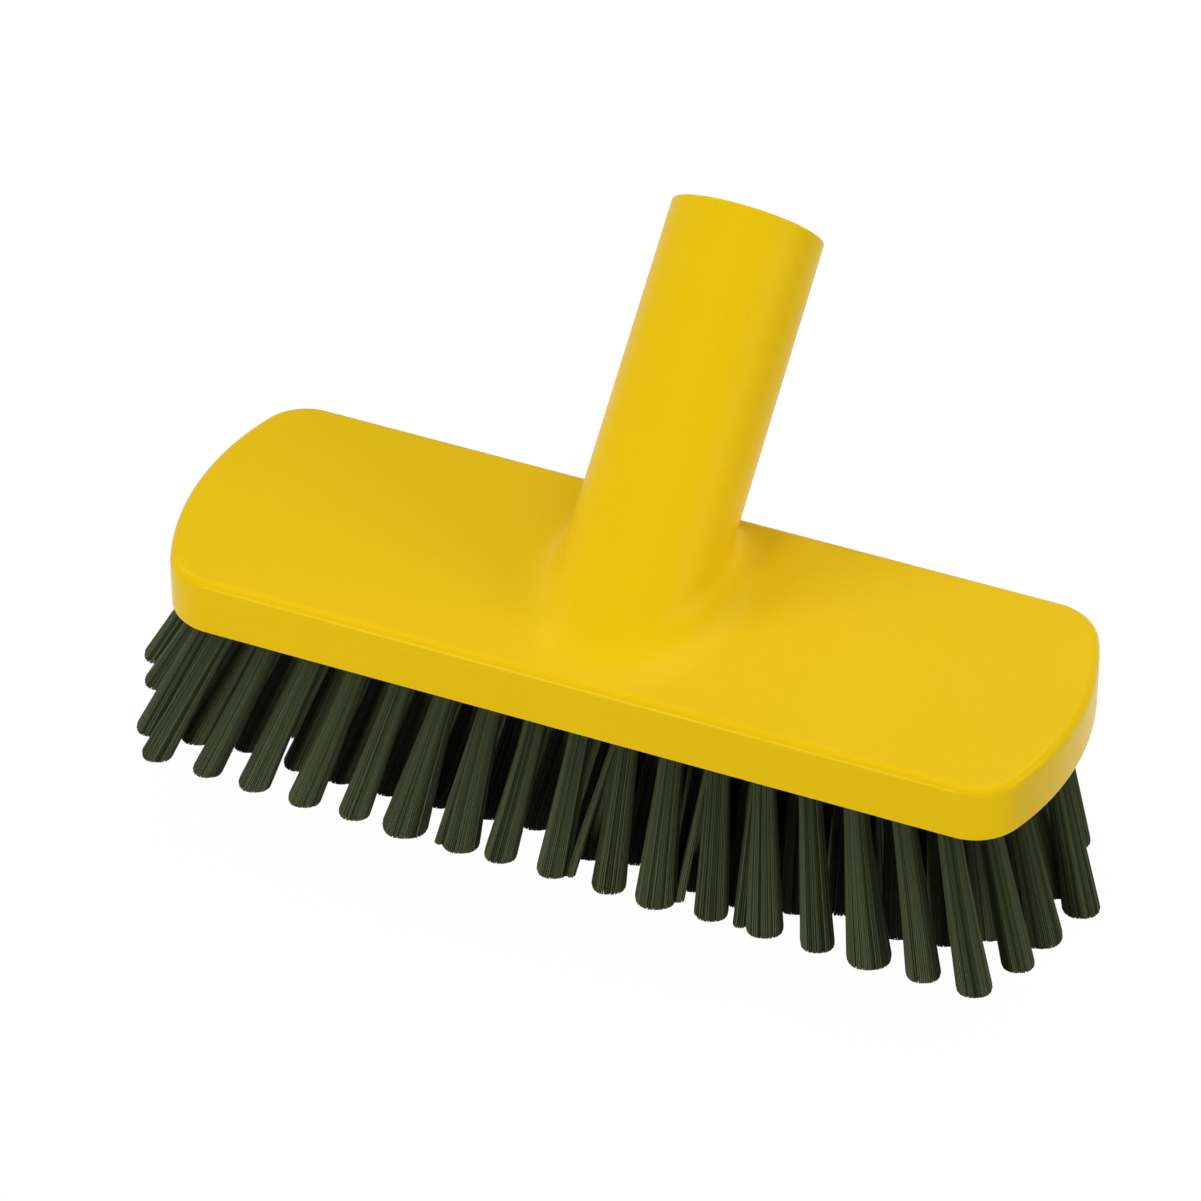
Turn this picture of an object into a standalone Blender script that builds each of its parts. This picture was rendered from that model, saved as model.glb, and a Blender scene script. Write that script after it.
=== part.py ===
"""Deck brush head: a moulded block with a slanted handle socket, and staggered rows of bristle tufts.

Lengths are in metres, +Z is up. The brush stands on its bristle tips at z = 0, and the origin is
the middle of its bounding box's base. The handle socket leans towards +Y, the rear.
"""

import math

import bmesh
import bpy
from mathutils import Vector

# Block
block_length = 0.225
block_width = 0.072
block_height = 0.0152
end_arc_radius = 0.0724
corner_radius = 0.0134
edge_radius = 0.0024

# Handle socket
socket_tilt = math.radians(50)
socket_reach = 0.0909
socket_foot_radius = 0.0191
socket_mouth_radius = 0.0189
socket_blend = 0.0115
blend_sink = 0.00004
rim_radius = 0.0006
bore_radius = 0.0140
bore_depth = 0.062
bore_chamfer = 0.0010

# Bristles
bristle_length = 0.0494
tufts_in_rows = (17, 18, 19, 20, 19, 18)
end_land = 0.0003
side_land = 0.0024
tuft_root_radius = 0.0026
tuft_tip_radius = 0.0040
sideways_lean = 0.0063
forward_lean = 0.0018

# Seating
seat_gap = 0.0003
pocket_wall = 0.0022

# Shares of the sizes above
setback_share = 0.51
pocket_depth_share = 0.29
foot_depth_share = 0.4
tip_fan_share = 1.18
tip_row_share = 1.015
row_span_shares = (1, 1, 0.97, 0.96, 0.95, 0.97)
strand_gap_share = 0.22
strand_embed_share = 0.4

# Looks
yellow_colour = (0.79, 0.53, 0.012)
yellow_roughness = 0.38
green_colour = (0.045, 0.052, 0.028)
green_roughness = 0.6
smooth_angle = math.radians(35)

# Counts
corner_steps = 7
end_arc_steps = 12
edge_steps = 4
socket_sides = 44
blend_steps = 9
rim_steps = 3
slices_in_a_row = 5

# Sizes that follow
end_margin = pocket_wall + seat_gap + tuft_root_radius + end_land
side_margin = pocket_wall + seat_gap + tuft_root_radius + side_land
tuft_pitch = (block_length - 2 * end_margin) / (max(tufts_in_rows) - 1)
row_pitch = (block_width - 2 * side_margin) / (len(tufts_in_rows) - 1)
pocket_depth = block_height * pocket_depth_share
foot_depth = block_height * foot_depth_share
foot_half_length = socket_foot_radius / math.cos(socket_tilt)
socket_setback = (block_width / 2 - foot_half_length) * setback_share
underside = bristle_length
top = underside + block_height
mouth_rear = (
    socket_setback
    + (socket_reach - rim_radius) * math.sin(socket_tilt)
    + (socket_mouth_radius - rim_radius) * math.cos(socket_tilt)
    + rim_radius
)
block_x = sideways_lean
block_y = (block_width / 2 - mouth_rear) / 2

socket_axis = Vector((0, math.sin(socket_tilt), math.cos(socket_tilt)))
socket_across = Vector((0, math.cos(socket_tilt), -math.sin(socket_tilt)))
socket_foot = Vector((block_x, block_y + socket_setback, top))

row_names = ("front", "second", "third", "fourth", "fifth", "rear")
slice_names = ("left_end", "left", "middle", "right", "right_end")


def clear_scene():
    for obj in list(bpy.data.objects):
        bpy.data.objects.remove(obj, do_unlink=True)


def make_collection(name):
    collection = bpy.data.collections.new(name)
    bpy.context.scene.collection.children.link(collection)
    return collection


def make_material(name, colour, roughness):
    material = bpy.data.materials.new(name)
    material.use_nodes = True
    shader = material.node_tree.nodes["Principled BSDF"]
    shader.inputs["Base Color"].default_value = (*colour, 1)
    shader.inputs["Roughness"].default_value = roughness
    shader.inputs["Metallic"].default_value = 0
    return material


def make_object(name, bm, collection):
    bmesh.ops.recalc_face_normals(bm, faces=bm.faces)
    mesh = bpy.data.meshes.new(name)
    bm.to_mesh(mesh)
    bm.free()
    obj = bpy.data.objects.new(name, mesh)
    collection.objects.link(obj)
    return obj


def as_helper(obj):
    """A cutter or a piece to join: it shapes other objects and isn't one of the part's own."""
    obj.hide_render = True
    obj.display_type = "WIRE"
    return obj


def add_boolean(obj, other, operation):
    modifier = obj.modifiers.new(operation.title() + " " + other.name, "BOOLEAN")
    modifier.solver = "EXACT"
    modifier.operation = operation
    modifier.object = other


def smooth_round_faces(obj, angle):
    obj.data.shade_smooth()
    obj.data.set_sharp_from_angle(angle=angle)


def block_outline(inset):
    """The block's plan, drawn in by inset: straight sides, round corners and shallow arcs at the ends."""
    half_length = block_length / 2 - inset
    half_width = block_width / 2 - inset
    arc = end_arc_radius - inset
    corner = corner_radius - inset
    arc_x = half_length - arc
    corner_y = half_width - corner
    corner_x = arc_x + math.sqrt((arc - corner) ** 2 - corner_y**2)
    turn = math.atan2(corner_y, corner_x - arc_x)
    quarter = []
    for step in range(end_arc_steps // 2):
        angle = turn * step / (end_arc_steps // 2)
        quarter.append((arc_x + arc * math.cos(angle), arc * math.sin(angle)))
    for step in range(corner_steps + 1):
        angle = turn + (math.pi / 2 - turn) * step / corner_steps
        quarter.append((corner_x + corner * math.cos(angle), corner_y + corner * math.sin(angle)))
    half = quarter + [(-x, y) for x, y in reversed(quarter)]
    whole = half + [(x, -y) for x, y in reversed(half[1:-1])]
    return [Vector((block_x + x, block_y + y, 0)) for x, y in whole]


def prism(points, low, high):
    bm = bmesh.new()
    face = bm.faces.new([bm.verts.new((p.x, p.y, low)) for p in points])
    raised = bmesh.ops.extrude_face_region(bm, geom=[face])["geom"]
    verts = [v for v in raised if isinstance(v, bmesh.types.BMVert)]
    bmesh.ops.translate(bm, verts=verts, vec=(0, 0, high - low))
    return bm


def block_body():
    bm = prism(block_outline(0), underside, top)
    rim = [e for e in bm.edges if all(math.isclose(v.co.z, top, rel_tol=1e-6) for v in e.verts)]
    bmesh.ops.bevel(
        bm,
        geom=rim,
        offset=edge_radius,
        offset_type="OFFSET",
        segments=edge_steps,
        profile=0.5,
        affect="EDGES",
        material=-1,
    )
    return bm


def blend_size(foot, outward):
    """The fillet at the foot, held back where the block's long edges leave it less room."""
    aside = foot.y - block_y
    room = block_width / 2 - edge_radius - seat_gap - abs(aside)
    towards_edge = outward.y * math.copysign(1, aside)
    if towards_edge <= 0:
        return socket_blend
    return max(seat_gap, min(socket_blend, room / towards_edge))


def socket_line(angle):
    """One straight line of the socket's side: its foot on the block's top, its ways out and its fillet."""
    radial = Vector((math.cos(angle), 0, 0)) + socket_across * math.sin(angle)
    taper = (socket_mouth_radius - socket_foot_radius) / socket_reach
    rise = math.sin(angle) * math.tan(socket_tilt)
    start = socket_foot_radius * rise / (1 - taper * rise)
    foot = socket_foot + socket_axis * start + radial * (socket_foot_radius + taper * start)
    outward = Vector((math.cos(angle), math.sin(angle) * math.cos(socket_tilt), 0)).normalized()
    return foot, outward, radial, blend_size(foot, outward)


def socket_rings():
    """Rings of points from inside the block, through the blend at the foot, up to the mouth."""
    lines = [socket_line(math.tau * side / socket_sides) for side in range(socket_sides)]
    drop = Vector((0, 0, foot_depth))
    rings = [[foot + outward * blend - drop for foot, outward, radial, blend in lines]]
    for step in range(blend_steps + 1):
        share = step / blend_steps
        # The blend's edge lies just under the top, so that the two surfaces cross instead of touching.
        sink = Vector((0, 0, blend_sink * (1 - share)))
        rings.append(
            [
                foot + outward * blend * (1 - share) ** 2 + socket_axis * blend * share**2 - sink
                for foot, outward, radial, blend in lines
            ]
        )
    for step in range(rim_steps + 1):
        turn = math.pi / 2 * step / rim_steps
        along = socket_reach - rim_radius * (1 - math.sin(turn))
        radius = socket_mouth_radius - rim_radius * (1 - math.cos(turn))
        centre = socket_foot + socket_axis * along
        rings.append([centre + radial * radius for foot, outward, radial, blend in lines])
    return rings


def loft(rings):
    bm = bmesh.new()
    loops = []
    for ring in rings:
        verts = [bm.verts.new(point) for point in ring]
        loops.append([bm.edges.new((a, b)) for a, b in zip(verts, verts[1:] + verts[:1])])
    for lower, upper in zip(loops, loops[1:]):
        bmesh.ops.bridge_loops(bm, edges=lower + upper)
    bmesh.ops.edgeloop_fill(bm, edges=loops[0])
    bmesh.ops.edgeloop_fill(bm, edges=loops[-1])
    return bm


def bore_cutter(collection):
    """The handle's blind bore, with its lead-in chamfer, as a turned profile."""
    bottom = socket_reach - bore_depth
    flare = bore_chamfer + rim_radius
    profile = (
        (0, socket_reach + rim_radius),
        (bore_radius + flare, socket_reach + rim_radius),
        (bore_radius, socket_reach - bore_chamfer),
        (bore_radius, bottom),
        (0, bottom),
    )
    bm = bmesh.new()
    verts = [bm.verts.new((radius, 0, height)) for radius, height in profile]
    for a, b in zip(verts, verts[1:]):
        bm.edges.new((a, b))
    mesh = bpy.data.meshes.new("bore_cutter")
    bm.to_mesh(mesh)
    bm.free()
    cutter = bpy.data.objects.new("bore_cutter", mesh)
    collection.objects.link(cutter)
    cutter.location = socket_foot
    cutter.rotation_euler = (-socket_tilt, 0, 0)
    screw = cutter.modifiers.new("Screw", "SCREW")
    screw.steps = socket_sides
    screw.render_steps = socket_sides
    screw.use_merge_vertices = True
    screw.merge_threshold = 0.0001
    return as_helper(cutter)


def make_block(collection, helpers, material):
    block = make_object("block_with_handle_socket", block_body(), collection)
    block.data.materials.append(material)
    socket = as_helper(make_object("socket_outside", loft(socket_rings()), helpers))
    pocket = prism(block_outline(pocket_wall), underside - pocket_depth, underside + pocket_depth)
    pocket = as_helper(make_object("pocket_cutter", pocket, helpers))
    add_boolean(block, socket, "UNION")
    add_boolean(block, bore_cutter(helpers), "DIFFERENCE")
    add_boolean(block, pocket, "DIFFERENCE")
    smooth_round_faces(block, smooth_angle)
    return block


def tuft_places(row):
    """The root and the tip of each tuft in a row. Every other row stands about half a pitch along."""
    count = tufts_in_rows[row]
    pitch = tuft_pitch * row_span_shares[row]
    root_y = (row - (len(tufts_in_rows) - 1) / 2) * row_pitch
    places = []
    for index in range(count):
        root_x = (index - (count - 1) / 2) * pitch
        root = Vector((block_x + root_x, block_y + root_y, underside))
        tip_x = block_x + root_x * tip_fan_share - sideways_lean
        tip_y = block_y + root_y * tip_row_share - forward_lean
        tip = Vector((tip_x, tip_y, 0))
        places.append((root, tip))
    return places


def add_strand(bm, root, tip, root_side, tip_side):
    """A four-sided strand: a cube whose top lies at the root and whose base is cut flat at the tip."""
    verts = bmesh.ops.create_cube(bm, size=1)["verts"]
    for vert in verts:
        centre, side = (root, root_side) if vert.co.z > 0 else (tip, tip_side)
        vert.co = centre + Vector((vert.co.x * side, vert.co.y * side, 0))


def tuft_strands(places):
    bm = bmesh.new()
    embed = pocket_depth * strand_embed_share
    for root, tip in places:
        rise = (root - tip) * (embed / (root.z - tip.z))
        root_side = tuft_root_radius * (1 - strand_gap_share / 2)
        tip_side = tuft_tip_radius * (1 - strand_gap_share / 2)
        for across in (-1, 1):
            for along in (-1, 1):
                way = Vector((across, along, 0))
                root_way = way * (tuft_root_radius - root_side / 2)
                tip_way = way * (tuft_tip_radius - tip_side / 2)
                add_strand(bm, root + rise + root_way, tip + tip_way, root_side, tip_side)
    return bm


def slice_bar(places, row, first, last):
    """The bar of backing that carries some of a row's tufts, before its ends are trimmed."""
    rows = len(tufts_in_rows)
    middle_y = block_y + (row - (rows - 1) / 2) * row_pitch
    low_y = middle_y - row_pitch / 2 + seat_gap / 2
    high_y = middle_y + row_pitch / 2 - seat_gap / 2
    if row == 0:
        low_y = block_y - block_width / 2
    if row == rows - 1:
        high_y = block_y + block_width / 2
    half_pitch = (places[1][0].x - places[0][0].x) / 2
    low_x = places[first][0].x - half_pitch + seat_gap / 2
    high_x = places[last][0].x + half_pitch - seat_gap / 2
    if first == 0:
        low_x = block_x - block_length / 2
    if last == len(places) - 1:
        high_x = block_x + block_length / 2
    corners = ((low_x, low_y), (high_x, low_y), (high_x, high_y), (low_x, high_y))
    return prism([Vector((x, y, 0)) for x, y in corners], underside, underside + pocket_depth - seat_gap)


def make_bristles(collection, helpers, material):
    field = prism(block_outline(pocket_wall + seat_gap), underside - pocket_depth, top)
    field = as_helper(make_object("backing_outline", field, helpers))
    for row, row_name in enumerate(row_names):
        places = tuft_places(row)
        ends = [round(len(places) * share / slices_in_a_row) for share in range(slices_in_a_row + 1)]
        for first, end, slice_name in zip(ends, ends[1:], slice_names):
            name = f"bristles_{row_name}_row_{slice_name}"
            bar = make_object(name, slice_bar(places, row, first, end - 1), collection)
            bar.data.materials.append(material)
            strands = tuft_strands(places[first:end])
            strands = as_helper(make_object(name + "_strands", strands, helpers))
            add_boolean(bar, field, "INTERSECT")
            add_boolean(bar, strands, "UNION")


def main():
    clear_scene()
    part = make_collection("deck_brush_head")
    helpers = make_collection("cutters")
    yellow = make_material("yellow_plastic", yellow_colour, yellow_roughness)
    green = make_material("dark_green_bristle", green_colour, green_roughness)
    make_block(part, helpers, yellow)
    make_bristles(part, helpers, green)


main()
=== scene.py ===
import math
import random

import bmesh
import bpy
from mathutils import Matrix, Vector


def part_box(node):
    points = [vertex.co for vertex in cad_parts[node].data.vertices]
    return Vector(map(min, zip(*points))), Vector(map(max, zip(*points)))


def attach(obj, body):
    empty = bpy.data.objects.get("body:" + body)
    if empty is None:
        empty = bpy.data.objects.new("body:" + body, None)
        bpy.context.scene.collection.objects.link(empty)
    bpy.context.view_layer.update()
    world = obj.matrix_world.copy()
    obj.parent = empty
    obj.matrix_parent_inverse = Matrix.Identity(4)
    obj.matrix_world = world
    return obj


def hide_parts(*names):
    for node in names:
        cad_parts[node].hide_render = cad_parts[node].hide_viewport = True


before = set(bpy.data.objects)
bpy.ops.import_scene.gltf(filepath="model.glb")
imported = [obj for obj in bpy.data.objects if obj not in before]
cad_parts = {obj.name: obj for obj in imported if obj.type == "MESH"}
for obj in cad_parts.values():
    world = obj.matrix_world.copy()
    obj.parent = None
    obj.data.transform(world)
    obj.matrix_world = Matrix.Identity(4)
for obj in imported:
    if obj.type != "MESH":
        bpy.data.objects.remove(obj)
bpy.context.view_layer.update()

# The brush's sizes in metres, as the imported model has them.
BLOCK_LENGTH = 0.225
BLOCK_WIDTH = 0.072
BLOCK_HEIGHT = 0.0152
block_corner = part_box("block_with_handle_socket")[0]
BLOCK_CENTRE = Vector((block_corner.x + BLOCK_LENGTH / 2, block_corner.y + BLOCK_WIDTH / 2, 0))
UNDERSIDE = block_corner.z
TOP = UNDERSIDE + BLOCK_HEIGHT
END_ARC_RADIUS = 0.0724
CORNER_RADIUS = 0.0134
TOP_EDGE_RADIUS = 0.0024
BOTTOM_EDGE_RADIUS = 0.0005

SOCKET_TILT = math.radians(50)
SOCKET_SETBACK = 0.00321
SOCKET_FOOT = Vector((BLOCK_CENTRE.x, BLOCK_CENTRE.y + SOCKET_SETBACK, TOP))
SOCKET_REACH = 0.0909
SOCKET_FOOT_RADIUS = 0.0191
SOCKET_MOUTH_RADIUS = 0.01888
SOCKET_BLEND = 0.0115
# At the block's rear edge there is no room for the blend, and it shrinks to this.
LEAST_BLEND = 0.0003
SOCKET_SIDES = 96
RIM_RADIUS = 0.0006
BORE_RADIUS = 0.0140
BORE_DEPTH = 0.062
BORE_CHAMFER = 0.0010
BORE_END_RADIUS = 0.003
THREAD_PITCH = 0.0052
THREAD_HEIGHT = 0.0009
# The thread's first and last depth from the mouth, and the length over which it rises from the wall.
THREAD_START = 0.003
THREAD_END = 0.057
THREAD_FADE = 0.004
SOCKET_AXIS = Vector((0, math.sin(SOCKET_TILT), math.cos(SOCKET_TILT)))
SOCKET_ACROSS = Vector((0, math.cos(SOCKET_TILT), -math.sin(SOCKET_TILT)))

# Front row first. Each name carries a row's count of tufts.
ROWS = {"front": 17, "second": 18, "third": 19, "fourth": 20, "fifth": 19, "rear": 18}
LENGTHS_OF_A_ROW = ("left_end", "left", "middle", "right", "right_end")
TUFT_PITCH = 0.011274
ROW_PITCH = 0.0114
# How much of the full spacing each row has, front row first.
ROW_SPANS = (1, 1, 0.97, 0.96, 0.95, 0.97)
TIP_FAN = 1.18
TIP_ROW_FAN = 1.015
SIDEWAYS_LEAN = 0.0063
FORWARD_LEAN = 0.0018
# The second row's tufts lean this much further to the left from one to the next.
SECOND_ROW_LEAN = 0.00035
HOLE_RADIUS = 0.0028
HOLE_DEPTH = 0.0040
HOLE_SIDES = 16
# The gap under the filaments' ends in the hole.
HOLE_CLEARANCE = 0.0004
TUFT_ROOT_RADIUS = 0.00242
TUFT_TIP_RADIUS = 0.0038
FILAMENT_ROOT_RADIUS = 0.00017
FILAMENT_TIP_RADIUS = 0.00028
RINGS_IN_A_TUFT = 8
# The tufts press each other a little square.
TUFT_CORNERS = 0.06
TUFT_TURN = math.radians(22.5)
# How far a tuft bows, how far a filament's tip strays, and how unevenly the tips are trimmed.
TUFT_BOW = 0.0003
TIP_STRAY = 0.00003
TRIM_UNEVENNESS = 0.000015
# Filaments stand in ridges along a tuft. This share of the ridges is light, and the rest are furrows, whose
# filaments are painted dark as the shade in them.
LIGHT_RIDGES = 0.74
RIDGE_HEIGHT = 0.015
# Painted shade along each filament: its tone at its root, as a share of its own, and what it gains up to
# its tip, so it is painted darker towards the root, as the shade under the block and between the tufts
# would make it.
ROOT_PAINTED_SHADE = 0.52
PAINTED_SHADE_LIFT = 0.6
# A wisp's root, as a share of the tuft's or of the wisp's own radius.
WISP_ROOT = 0.6

# Tufts whose tips stand away from the even fan, in metres:
# (row, place from the left): (sideways, to the rear).
SHIFTED_TIPS = {
    ("front", 0): (0.0004, 0.0014),
    ("front", 1): (0.0009, 0.0008),
    ("front", 2): (0.0002, 0.0007),
    ("front", 3): (0.0003, 0.0003),
    ("front", 4): (0.0001, 0.0005),
    ("front", 5): (0.0, 0.0008),
    ("front", 6): (0.0014, 0.0002),
    ("front", 7): (-0.0014, 0.0),
    ("front", 8): (-0.0010, 0.0),
    ("front", 10): (-0.0013, 0.0001),
    ("front", 11): (-0.0006, 0.0005),
    ("front", 12): (-0.0002, 0.0003),
    ("front", 14): (-0.0005, 0.0004),
    ("front", 16): (-0.0006, 0.0),
    ("second", 0): (0.0019, -0.0019),
    ("second", 1): (0.0005, 0.0),
    ("second", 2): (0.0003, 0.0016),
    ("second", 3): (0.0015, 0.0),
    ("second", 5): (-0.0005, 0.0002),
    ("second", 6): (0.0, 0.0010),
    ("second", 7): (-0.0005, 0.0019),
    ("second", 8): (-0.0018, 0.0026),
    ("second", 9): (0.0008, -0.0009),
    ("second", 10): (-0.0006, 0.0004),
    ("second", 11): (0.0022, -0.0012),
    ("second", 12): (0.0019, -0.0036),
    ("second", 13): (0.0015, -0.0010),
    ("second", 14): (-0.0015, 0.0026),
    ("second", 15): (0.0013, 0.0),
    ("second", 16): (-0.0008, 0.0017),
    ("second", 17): (0.0054, 0.0),
    ("third", 0): (-0.0005, 0.0028),
    ("third", 17): (-0.0012, -0.0033),
    ("third", 18): (-0.0019, -0.0005),
    ("fourth", 0): (0.0003, 0.0),
    ("fourth", 18): (0.0029, 0.0050),
    ("fourth", 19): (-0.0015, 0.0007),
    ("rear", 17): (0.0008, -0.0008),
}

# Tufts whose roots stand a little to the right of the even spacing, or to the left where it is negative.
SHIFTED_ROOTS = {
    ("second", 16): -0.0008,
    ("second", 17): -0.0013,
    ("third", 17): -0.0012,
    ("third", 18): -0.0023,
    ("fourth", 18): 0.0015,
}

# The hidden inner rows spread a little wider at the tips.
ROW_SPREADS = {"third": 1.16, "fourth": 1.12, "fifth": 1.06}

# Tufts that spread wider or tighter than the rest at the tip, as a share of the usual radius.
SPREADS = {
    ("front", 0): 0.95,
    ("front", 1): 0.9,
    ("front", 5): 1.4,
    ("front", 6): 1.15,
    ("front", 8): 1.0,
    ("front", 10): 1.24,
    ("front", 12): 1.12,
    ("front", 14): 1.35,
    ("front", 16): 1.07,
    ("second", 1): 1.15,
    ("second", 9): 1.38,
    ("second", 11): 1.5,
    ("second", 12): 1.12,
    ("second", 13): 1.08,
    ("third", 0): 1.0,
    ("third", 18): 1.32,
    ("fourth", 0): 0.97,
    ("fourth", 18): 1.25,
    ("fourth", 19): 1.14,
}

# Wisps that have split off a tuft: its row and place, where the wisp's tip stands from the tuft's even
# place (sideways, to the rear), and its radius there, in metres.
WISPS = [
    ("front", 6, -0.0032, -0.0019, 0.0010),
    ("front", 9, -0.0096, -0.0007, 0.0009),
    ("front", 11, -0.0090, 0.0011, 0.0010),
    ("front", 12, -0.0059, -0.0011, 0.0015),
    ("second", 1, -0.0015, -0.0017, 0.0008),
    ("second", 1, 0.0006, -0.0021, 0.0006),
    ("second", 8, -0.0050, 0.0, 0.0003),
    ("second", 9, -0.0073, 0.0038, 0.0003),
]


def block_outline(inset, height):
    """Points round the block: an arc at each end and a round corner at each side of it."""
    half_length = BLOCK_LENGTH / 2 - inset
    half_width = BLOCK_WIDTH / 2 - inset
    arc = END_ARC_RADIUS - inset
    corner = CORNER_RADIUS - inset
    arc_x = half_length - arc
    corner_y = half_width - corner
    corner_x = arc_x + math.sqrt((arc - corner) ** 2 - corner_y**2)
    turn = math.atan2(corner_y, corner_x - arc_x)
    arc_steps = 18
    corner_steps = 16
    quarter = []
    for step in range(arc_steps):
        angle = turn * step / arc_steps
        quarter.append((arc_x + arc * math.cos(angle), arc * math.sin(angle)))
    for step in range(corner_steps + 1):
        angle = turn + (math.pi / 2 - turn) * step / corner_steps
        quarter.append((corner_x + corner * math.cos(angle), corner_y + corner * math.sin(angle)))
    right_half = quarter + [(0.0, half_width)]
    upper = right_half + [(-x, y) for x, y in reversed(quarter)]
    lower = [(x, -y) for x, y in reversed(upper[1:-1])]
    return [BLOCK_CENTRE + Vector((x, y, height)) for x, y in upper + lower]


def start_ring(mesh, points):
    """A circle of the mesh, with its points laid on the given ones."""
    ring = bmesh.ops.create_circle(mesh, segments=len(points), radius=1)["verts"]
    for vert, point in zip(ring, points):
        vert.co = point
    return ring


def ring_edges(mesh, ring):
    return [mesh.edges.get((ring[place - 1], ring[place])) for place in range(len(ring))]


def draw_ring_on(mesh, ring, points):
    """Extrudes the ring and lays the new one on the given points."""
    made = bmesh.ops.extrude_edge_only(mesh, edges=ring_edges(mesh, ring))["geom"]
    fresh = {item for item in made if isinstance(item, bmesh.types.BMVert)}
    drawn = []
    for vert, point in zip(ring, points):
        neighbours = (edge.other_vert(vert) for edge in vert.link_edges)
        twin = next(neighbour for neighbour in neighbours if neighbour in fresh)
        twin.co = point
        drawn.append(twin)
    return drawn


def finished_piece(name, mesh, finish, node, sharp=35):
    """Turns the mesh into a piece that stands for its CAD node and rides with the brush."""
    bmesh.ops.recalc_face_normals(mesh, faces=mesh.faces)
    data = bpy.data.meshes.new(name)
    mesh.to_mesh(data)
    mesh.free()
    data.polygons.foreach_set("use_smooth", [True] * len(data.polygons))
    data.set_sharp_from_angle(angle=math.radians(sharp))
    data.materials.append(finish)
    piece = bpy.data.objects.new(name, data)
    bpy.context.scene.collection.objects.link(piece)
    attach(piece, "root")
    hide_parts(node)
    return piece


def even_axis(row, place):
    """Root and tip of a tuft's middle line in the even fan."""
    index = list(ROWS).index(row)
    root_x = (place - (ROWS[row] - 1) / 2) * TUFT_PITCH * ROW_SPANS[index]
    root_y = (index - 2.5) * ROW_PITCH
    root = BLOCK_CENTRE + Vector((root_x, root_y, UNDERSIDE))
    tip_x = root_x * TIP_FAN - SIDEWAYS_LEAN
    tip_y = root_y * TIP_ROW_FAN - FORWARD_LEAN
    return root, BLOCK_CENTRE + Vector((tip_x, tip_y, 0))


def tuft_axis(row, place):
    """Root and tip of a tuft's middle line, with its own shifts."""
    root, tip = even_axis(row, place)
    sideways, rearward = SHIFTED_TIPS.get((row, place), (0, 0))
    if row == "second":
        sideways -= place * SECOND_ROW_LEAN
    root_shift = SHIFTED_ROOTS.get((row, place), 0)
    return root + Vector((root_shift, 0, 0)), tip + Vector((sideways, rearward, 0))


def round_edge(mesh, ring, radius, height, turns_in):
    """Carries the outline round a quarter circle, out from the underside or in to the top."""
    steps = 8
    for step in range(1, steps + 1):
        angle = math.pi / 2 * step / steps
        if turns_in:
            inset = radius * (1 - math.cos(angle))
            level = height - radius + radius * math.sin(angle)
        else:
            inset = radius * (1 - math.sin(angle))
            level = height + radius * (1 - math.cos(angle))
        ring = draw_ring_on(mesh, ring, block_outline(inset, level))
    return ring


def drill_tuft_holes(mesh, outline):
    """Closes the underside round one hole a tuft, each drilled along its tuft."""
    rims = []
    for row, count in ROWS.items():
        for place in range(count):
            root, tip = tuft_axis(row, place)
            along = (root - tip) / (root.z - tip.z)
            circle = [
                root + Vector((math.cos(angle), math.sin(angle), 0)) * HOLE_RADIUS
                for angle in (math.tau * side / HOLE_SIDES for side in range(HOLE_SIDES))
            ]
            rims.append((start_ring(mesh, circle), along))
    edges = ring_edges(mesh, outline)
    for rim, _ in rims:
        edges += ring_edges(mesh, rim)
    bmesh.ops.triangle_fill(mesh, use_beauty=True, edges=edges)
    for rim, along in rims:
        floor_ring = draw_ring_on(mesh, rim, [vert.co + along * HOLE_DEPTH for vert in rim])
        bmesh.ops.contextual_create(mesh, geom=floor_ring)


def socket_ring(radius, along):
    """A round section of the socket, that far along its axis."""
    return [
        SOCKET_FOOT + SOCKET_AXIS * along
        + (Vector((math.cos(angle), 0, 0)) + SOCKET_ACROSS * math.sin(angle)) * radius
        for angle in (math.tau * side / SOCKET_SIDES for side in range(SOCKET_SIDES))
    ]


def socket_foot_line(angle):
    """Where a line of the wall meets the top, which way the top runs out from it, and its blend."""
    radial = Vector((math.cos(angle), 0, 0)) + SOCKET_ACROSS * math.sin(angle)
    taper = (SOCKET_MOUTH_RADIUS - SOCKET_FOOT_RADIUS) / SOCKET_REACH
    rise = math.sin(angle) * math.tan(SOCKET_TILT)
    start = SOCKET_FOOT_RADIUS * rise / (1 - taper * rise)
    foot = SOCKET_FOOT + SOCKET_AXIS * start + radial * (SOCKET_FOOT_RADIUS + taper * start)
    outward = Vector((math.cos(angle), math.sin(angle) * math.cos(SOCKET_TILT), 0)).normalized()
    aside = foot.y - BLOCK_CENTRE.y
    room = BLOCK_WIDTH / 2 - TOP_EDGE_RADIUS - LEAST_BLEND - abs(aside)
    towards_edge = outward.y * math.copysign(1, aside)
    blend = SOCKET_BLEND
    if towards_edge > 0:
        blend = max(LEAST_BLEND, min(blend, room / towards_edge))
    return foot, outward, blend


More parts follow.
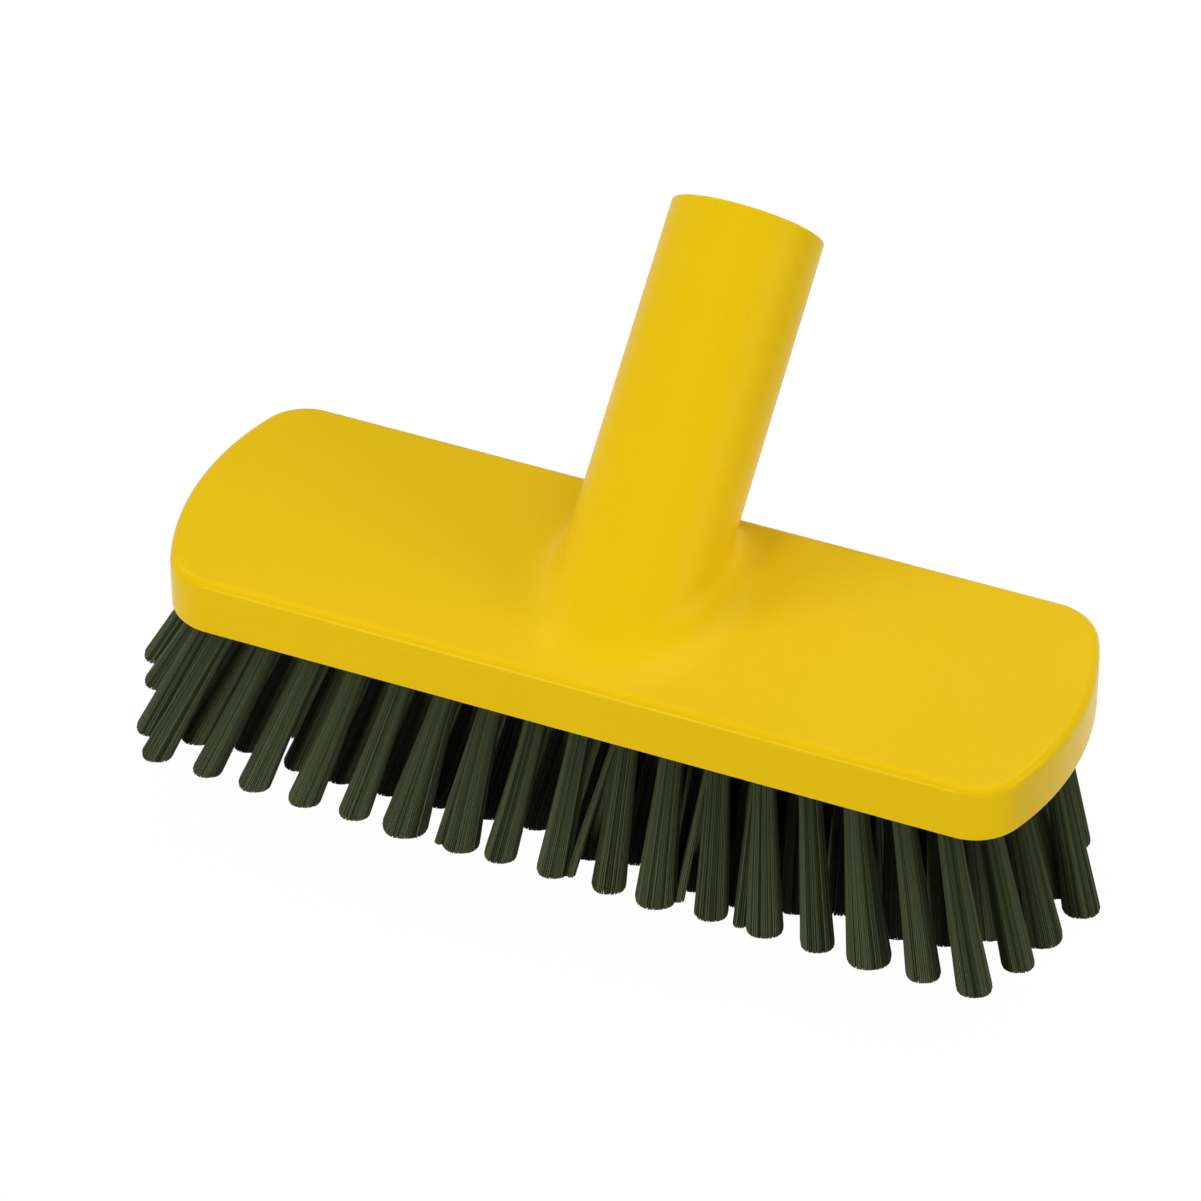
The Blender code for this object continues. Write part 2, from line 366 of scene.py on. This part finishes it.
def raise_socket(mesh, top_ring):
    """The slanted socket: blend from the top, tube, rounded rim and a threaded blind bore."""
    angles = [math.tau * side / SOCKET_SIDES for side in range(SOCKET_SIDES)]
    lines = [socket_foot_line(angle) for angle in angles]
    ring = start_ring(mesh, [foot + outward * blend for foot, outward, blend in lines])
    edges = ring_edges(mesh, top_ring) + ring_edges(mesh, ring)
    bmesh.ops.triangle_fill(mesh, use_beauty=True, edges=edges)
    blend_steps = 12
    for step in range(1, blend_steps + 1):
        share = step / blend_steps
        ring = draw_ring_on(mesh, ring, [
            foot + outward * blend * (1 - share) ** 2 + SOCKET_AXIS * blend * share**2
            for foot, outward, blend in lines
        ])
    wall_end = SOCKET_REACH - RIM_RADIUS
    lower = [vert.co.copy() for vert in ring]
    upper = socket_ring(SOCKET_MOUTH_RADIUS, wall_end)
    wall_steps = 8
    for step in range(1, wall_steps + 1):
        share = step / wall_steps
        ring = draw_ring_on(mesh, ring, [low.lerp(high, share) for low, high in zip(lower, upper)])
    round_steps = 6
    for step in range(1, round_steps + 1):
        angle = math.pi / 2 * step / round_steps
        radius = SOCKET_MOUTH_RADIUS - RIM_RADIUS * (1 - math.cos(angle))
        along = wall_end + RIM_RADIUS * math.sin(angle)
        ring = draw_ring_on(mesh, ring, socket_ring(radius, along))
    ring = draw_ring_on(mesh, ring, socket_ring(BORE_RADIUS + BORE_CHAMFER, SOCKET_REACH))
    ring = draw_ring_on(mesh, ring, socket_ring(BORE_RADIUS, SOCKET_REACH - BORE_CHAMFER))
    ring = draw_ring_on(mesh, ring, socket_ring(BORE_RADIUS, SOCKET_REACH - THREAD_START))
    levels = 90
    for level in range(1, levels + 1):
        depth = THREAD_START + (THREAD_END - THREAD_START) * level / levels
        ring = draw_ring_on(mesh, ring, threaded_section(depth))
    round_start = SOCKET_REACH - BORE_DEPTH + BORE_END_RADIUS
    ring = draw_ring_on(mesh, ring, socket_ring(BORE_RADIUS, round_start))
    for step in range(1, round_steps + 1):
        angle = math.pi / 2 * step / round_steps
        radius = BORE_RADIUS - BORE_END_RADIUS * (1 - math.cos(angle))
        along = round_start - BORE_END_RADIUS * math.sin(angle)
        ring = draw_ring_on(mesh, ring, socket_ring(radius, along))
    bmesh.ops.contextual_create(mesh, geom=ring)


def threaded_section(depth):
    """A section of the bore, with the rounded ridge of the thread where it passes."""
    section = []
    fade = min(1, (depth - THREAD_START) / THREAD_FADE, (THREAD_END - depth) / THREAD_FADE)
    for side in range(SOCKET_SIDES):
        angle = math.tau * side / SOCKET_SIDES
        turn = (depth / THREAD_PITCH - side / SOCKET_SIDES) % 1
        ridge = max(0, math.cos((turn - 0.5) * math.tau)) ** 0.8
        radius = BORE_RADIUS - THREAD_HEIGHT * ridge * fade
        radial = Vector((math.cos(angle), 0, 0)) + SOCKET_ACROSS * math.sin(angle)
        section.append(SOCKET_FOOT + SOCKET_AXIS * (SOCKET_REACH - depth) + radial * radius)
    return section


def mould_block(finish):
    """The block and its socket, one closed moulding."""
    mesh = bmesh.new()
    outline = start_ring(mesh, block_outline(BOTTOM_EDGE_RADIUS, UNDERSIDE))
    drill_tuft_holes(mesh, outline)
    ring = round_edge(mesh, outline, BOTTOM_EDGE_RADIUS, UNDERSIDE, False)
    ring = draw_ring_on(mesh, ring, block_outline(0, TOP - TOP_EDGE_RADIUS))
    ring = round_edge(mesh, ring, TOP_EDGE_RADIUS, TOP, True)
    raise_socket(mesh, ring)
    block = finished_piece(
        "moulded_block_and_socket", mesh, finish, "block_with_handle_socket"
    )
    smooth = block.modifiers.new("even flats", "WEIGHTED_NORMAL")
    smooth.keep_sharp = True


def filament_form():
    """One straight filament from height 0 to 1, cut in three lengths so that it can bend."""
    mesh = bmesh.new()
    bmesh.ops.create_cone(
        mesh, cap_ends=True, segments=5, radius1=FILAMENT_ROOT_RADIUS, radius2=FILAMENT_TIP_RADIUS, depth=1,
        matrix=Matrix.Translation((0, 0, 0.5)),
    )
    for height in (0.35, 0.7):
        everything = mesh.verts[:] + mesh.edges[:] + mesh.faces[:]
        bmesh.ops.bisect_plane(mesh, geom=everything, plane_co=(0, 0, height), plane_no=(0, 0, 1))
    form = bpy.data.meshes.new("filament_form")
    mesh.to_mesh(form)
    mesh.free()
    return form


def lay_bundle(mesh, tone, form, chance, start, tip, radii, rings):
    """Fills a bundle with rings of filaments, packed at the root and spreading to the trimmed tips."""
    root_radius, tip_radius = radii
    bow = Vector((chance.uniform(-1, 1), chance.uniform(-1, 1), 0)) * TUFT_BOW
    first = chance.uniform(0, math.tau)
    ridges = [
        chance.uniform(0.45, 1) if chance.random() < LIGHT_RIDGES else chance.uniform(0, 0.3)
        for _ in range(4 * rings)
    ]
    places = [(0, 0)]
    for ring in range(1, rings + 1):
        around = 6 * ring
        places += [(ring / rings, first + ring + math.tau * side / around) for side in range(around)]
    for reach, angle in places:
        angle += chance.uniform(-0.2, 0.2) * math.tau / (6 * rings)
        ridge = ridges[int(angle / math.tau * len(ridges)) % len(ridges)]
        squareness = TUFT_CORNERS * math.sin(2 * (angle - TUFT_TURN)) ** 2
        reach *= 1 + squareness + RIDGE_HEIGHT * (ridge - 0.8)
        aside = Vector((math.cos(angle), math.sin(angle), 0)) * reach
        stray = Vector((chance.gauss(0, 1), chance.gauss(0, 1), 0)) * TIP_STRAY
        lift = abs(chance.gauss(0, TRIM_UNEVENNESS))
        # The filament's tone: mostly its ridge's, which paints shade into the furrows, and a little at
        # random.
        shade = 0.75 * ridge + 0.25 * chance.random()
        mesh.from_mesh(form)
        mesh.verts.ensure_lookup_table()
        for vert in mesh.verts[-len(form.vertices):]:
            share = vert.co.z
            centre = start.lerp(tip, share)
            radius = root_radius + (tip_radius - root_radius) * share**1.3
            centre += aside * radius + bow * math.sin(math.pi * share) + stray * share**2
            centre.z = start.z + (lift - start.z) * share
            vert.co = centre + Vector((vert.co.x, vert.co.y, 0))
            # Painted shade: the filament's tone darkens towards its root.
            vert[tone] = shade * (ROOT_PAINTED_SHADE + PAINTED_SHADE_LIFT * share)


def lay_tuft(mesh, tone, form, row, place):
    """One tuft from the floor of its hole, with the wisps that have split off it."""
    root, tip = tuft_axis(row, place)
    chance = random.Random(f"{row} {place}")
    spread = SPREADS.get((row, place), chance.uniform(0.96, 1.04) * ROW_SPREADS.get(row, 1))
    start = root + (root - tip) / (root.z - tip.z) * (HOLE_DEPTH - HOLE_CLEARANCE)
    radii = (TUFT_ROOT_RADIUS, TUFT_TIP_RADIUS * spread)
    rings = round(RINGS_IN_A_TUFT * max(1, spread))
    lay_bundle(mesh, tone, form, chance, start, tip, radii, rings)
    for its_row, its_place, sideways, rearward, radius in WISPS:
        if (its_row, its_place) == (row, place):
            wisp_tip = even_axis(row, place)[1] + Vector((sideways, rearward, 0))
            wisp_start = start + (wisp_tip - tip).normalized() * TUFT_ROOT_RADIUS * WISP_ROOT
            radii = (radius * WISP_ROOT, radius)
            rings = max(1, round(radius / TUFT_TIP_RADIUS * RINGS_IN_A_TUFT))
            lay_bundle(mesh, tone, form, chance, wisp_start, wisp_tip, radii, rings)


def set_bristles(finish):
    """Each row of tufts in the five lengths that the CAD nodes have."""
    form = filament_form()
    lengths = len(LENGTHS_OF_A_ROW)
    for row, count in ROWS.items():
        ends = [round(count * share / lengths) for share in range(lengths + 1)]
        for length, first, last in zip(LENGTHS_OF_A_ROW, ends, ends[1:]):
            bundle = bmesh.new()
            bundle.verts.layers.float.new("tone")
            for place in range(first, last):
                tuft = bmesh.new()
                tone = tuft.verts.layers.float.new("tone")
                lay_tuft(tuft, tone, form, row, place)
                held = bpy.data.meshes.new("tuft")
                tuft.to_mesh(held)
                tuft.free()
                bundle.from_mesh(held)
                bpy.data.meshes.remove(held)
            finished_piece(
                f"tufts_{row}_row_{length}", bundle, finish,
                f"bristles_{row}_row_{length}", sharp=60,
            )
    bpy.data.meshes.remove(form)


def new_material(name):
    material = bpy.data.materials.new(name)
    material.use_nodes = True
    nodes = material.node_tree.nodes
    return material, nodes, material.node_tree.links, nodes["Principled BSDF"]


def noise(nodes, links, place, scale, detail):
    texture = nodes.new("ShaderNodeTexNoise")
    texture.inputs["Scale"].default_value = scale
    texture.inputs["Detail"].default_value = detail
    links.new(place, texture.inputs["Vector"])
    return texture.outputs["Fac"]


def spread_between(nodes, links, value, low, high, to_low, to_high):
    """Maps the value's range on another."""
    remap = nodes.new("ShaderNodeMapRange")
    remap.inputs["From Min"].default_value = low
    remap.inputs["From Max"].default_value = high
    remap.inputs["To Min"].default_value = to_low
    remap.inputs["To Max"].default_value = to_high
    links.new(value, remap.inputs["Value"])
    return remap.outputs["Result"]


def blend_colours(nodes, links, factor, first, second):
    """Mixes two colours by the factor. Each is a colour or another node's output."""
    mix = nodes.new("ShaderNodeMix")
    mix.data_type = "RGBA"
    links.new(factor, mix.inputs["Factor"])
    for socket, colour in (("A", first), ("B", second)):
        target = next(item for item in mix.inputs if item.name == socket and item.type == "RGBA")
        if isinstance(colour, tuple):
            target.default_value = (*colour, 1)
        else:
            links.new(colour, target)
    return next(item for item in mix.outputs if item.type == "RGBA")


def satin_yellow_plastic():
    """Even yellow, faintly clouded and finely grained, smoother on the walls and edges."""
    material, nodes, links, shader = new_material("satin yellow plastic")
    place = nodes.new("ShaderNodeTexCoord").outputs["Object"]
    clouds = spread_between(nodes, links, noise(nodes, links, place, 26, 4), 0.3, 0.7, 0, 1)
    body = blend_colours(nodes, links, clouds, (0.780, 0.506, 0.004), (0.795, 0.520, 0.005))
    grain = spread_between(nodes, links, noise(nodes, links, place, 420, 2), 0.35, 0.65, 0, 0.1)
    grained = blend_colours(nodes, links, grain, body, (0.72, 0.464, 0.004))
    specks = spread_between(nodes, links, noise(nodes, links, place, 900, 0), 0.875, 0.895, 0, 0.22)
    colour = blend_colours(nodes, links, specks, grained, (0.42, 0.27, 0.01))
    links.new(colour, shader.inputs["Base Color"])
    split = nodes.new("ShaderNodeSeparateXYZ")
    links.new(place, split.inputs["Vector"])
    matt = spread_between(nodes, links, split.outputs["Z"], TOP - 0.0003, TOP - 0.0001, 0.28, 0.36)
    sheen = spread_between(nodes, links, noise(nodes, links, place, 70, 3), 0.3, 0.7, -0.025, 0.025)
    roughness = nodes.new("ShaderNodeMath")
    links.new(matt, roughness.inputs[0])
    links.new(sheen, roughness.inputs[1])
    links.new(roughness.outputs["Value"], shader.inputs["Roughness"])
    shader.inputs["Specular IOR Level"].default_value = 0.10
    shader.inputs["Specular Tint"].default_value = (1.0, 0.95, 0.15, 1)
    bump = nodes.new("ShaderNodeBump")
    bump.inputs["Strength"].default_value = 0.12
    bump.inputs["Distance"].default_value = 0.0002
    links.new(noise(nodes, links, place, 1500, 2), bump.inputs["Height"])
    links.new(bump.outputs["Normal"], shader.inputs["Normal"])
    return material


def dark_green_filament():
    """Stiff olive filament: each one its own tone, with painted shade in its furrows and towards its root,
    and faintly mottled.
    """
    material, nodes, links, shader = new_material("dark green filament")
    tone = nodes.new("ShaderNodeAttribute")
    tone.attribute_name = "tone"
    # The low end of this range holds the painted shade of the furrows and the roots.
    darkest, lightest = (0.009, 0.013, 0.004), (0.093, 0.107, 0.053)
    body = blend_colours(nodes, links, tone.outputs["Fac"], darkest, lightest)
    place = nodes.new("ShaderNodeTexCoord").outputs["Object"]
    mottle = noise(nodes, links, place, 1300, 2)
    spots = spread_between(nodes, links, mottle, 0.35, 0.65, 0, 0.2)
    colour = blend_colours(nodes, links, spots, body, (0.034, 0.042, 0.018))
    links.new(colour, shader.inputs["Base Color"])
    roughness = spread_between(nodes, links, mottle, 0.3, 0.7, 0.5, 0.66)
    links.new(roughness, shader.inputs["Roughness"])
    shader.inputs["Specular IOR Level"].default_value = 0.03
    bump = nodes.new("ShaderNodeBump")
    bump.inputs["Strength"].default_value = 0.15
    bump.inputs["Distance"].default_value = 0.0001
    links.new(mottle, bump.inputs["Height"])
    links.new(bump.outputs["Normal"], shader.inputs["Normal"])
    return material


def seen_or_mirrored(nodes, links):
    """1 for the camera's, the mirrored and the transmitted rays, 0 for those that light the brush."""
    path = nodes.new("ShaderNodeLightPath")
    first = nodes.new("ShaderNodeMath")
    first.operation = "MAXIMUM"
    links.new(path.outputs["Is Camera Ray"], first.inputs[0])
    links.new(path.outputs["Is Glossy Ray"], first.inputs[1])
    second = nodes.new("ShaderNodeMath")
    second.operation = "MAXIMUM"
    links.new(first.outputs["Value"], second.inputs[0])
    links.new(path.outputs["Is Transmission Ray"], second.inputs[1])
    return second.outputs["Value"]


def lay_floor():
    """A white floor, just under the tips, that keeps a faint shadow under the brush."""
    mesh = bmesh.new()
    level = Matrix.Translation((0, 0, -0.0002))
    bmesh.ops.create_grid(mesh, x_segments=4, y_segments=4, size=4, matrix=level)
    data = bpy.data.meshes.new("floor")
    mesh.to_mesh(data)
    mesh.free()
    material, nodes, links, shader = new_material("white floor")
    shader.inputs["Base Color"].default_value = (0.25, 0.25, 0.25, 1)
    shader.inputs["Roughness"].default_value = 0.9
    # Mostly plain white, with a small share of the lit floor, which carries the shadow.
    white = nodes.new("ShaderNodeEmission")
    white.inputs["Strength"].default_value = 1.07
    share = nodes.new("ShaderNodeMath")
    share.operation = "MULTIPLY"
    share.inputs[1].default_value = 0.92
    links.new(seen_or_mirrored(nodes, links), share.inputs[0])
    mix = nodes.new("ShaderNodeMixShader")
    links.new(share.outputs["Value"], mix.inputs["Fac"])
    links.new(shader.outputs["BSDF"], mix.inputs[1])
    links.new(white.outputs["Emission"], mix.inputs[2])
    links.new(mix.outputs["Shader"], nodes["Material Output"].inputs["Surface"])
    data.materials.append(material)
    floor = bpy.data.objects.new("floor", data)
    bpy.context.scene.collection.objects.link(floor)


def light_sky():
    """White where it is seen or mirrored, and a softer even light on the brush."""
    world = bpy.data.worlds.new("studio")
    bpy.context.scene.world = world
    world.use_nodes = True
    nodes = world.node_tree.nodes
    links = world.node_tree.links
    strength = spread_between(nodes, links, seen_or_mirrored(nodes, links), 0, 1, 0.02, 1.0)
    links.new(strength, nodes["Background"].inputs["Strength"])
    nodes["Background"].inputs["Color"].default_value = (1, 1, 1, 1)


def hang_softbox(name, place, size, power):
    lamp = bpy.data.lights.new(name, "AREA")
    lamp.shape = "SQUARE"
    lamp.size = size
    lamp.energy = power
    softbox = bpy.data.objects.new(name, lamp)
    softbox.location = place
    aim = BLOCK_CENTRE + Vector((0, 0, UNDERSIDE))
    softbox.rotation_euler = (aim - Vector(place)).to_track_quat("-Z", "Y").to_euler()
    bpy.context.scene.collection.objects.link(softbox)


def set_camera():
    """The photograph's view, fitted to the block's outline, the socket and the front row's tips."""
    turn = math.radians(22.471)
    rise = math.radians(40.406)
    distance = 1.6391
    to_the_left = 0.007268
    upwards = 0.009546
    ahead = Vector((-math.sin(turn) * math.cos(rise), math.cos(turn) * math.cos(rise), -math.sin(rise)))
    right = Vector((math.cos(turn), math.sin(turn), 0))
    up = right.cross(ahead)
    lens = bpy.data.cameras.new("camera")
    lens.sensor_width = 36
    lens.lens = 207.4
    lens.clip_start = 0.05
    lens.clip_end = 50
    camera = bpy.data.objects.new("camera", lens)
    aim = BLOCK_CENTRE + Vector((0, 0, UNDERSIDE))
    camera.location = aim - ahead * distance - right * to_the_left + up * upwards
    camera.rotation_euler = Matrix((right, up, -ahead)).transposed().to_euler()
    bpy.context.scene.collection.objects.link(camera)
    bpy.context.scene.camera = camera


mould_block(satin_yellow_plastic())
set_bristles(dark_green_filament())
lay_floor()
light_sky()
hang_softbox("low key softbox", (-0.7, -2.3, 0.6), 0.5, 40)
hang_softbox("low fill softbox", (1.5, -1.7, 0.7), 1.2, 9)
hang_softbox("left softbox", (-2.0, 0.2, 1.6), 1.4, 10.5)
hang_softbox("right softbox", (2.2, 0.4, 1.0), 1.4, 32)
hang_softbox("rear overhead softbox", (0.1, 1.3, 2.1), 1.4, 27)
hang_softbox("rear left softbox", (-1.3, 0.6, 2.0), 0.7, 13)
set_camera()
bpy.context.scene.view_settings.view_transform = "Standard"
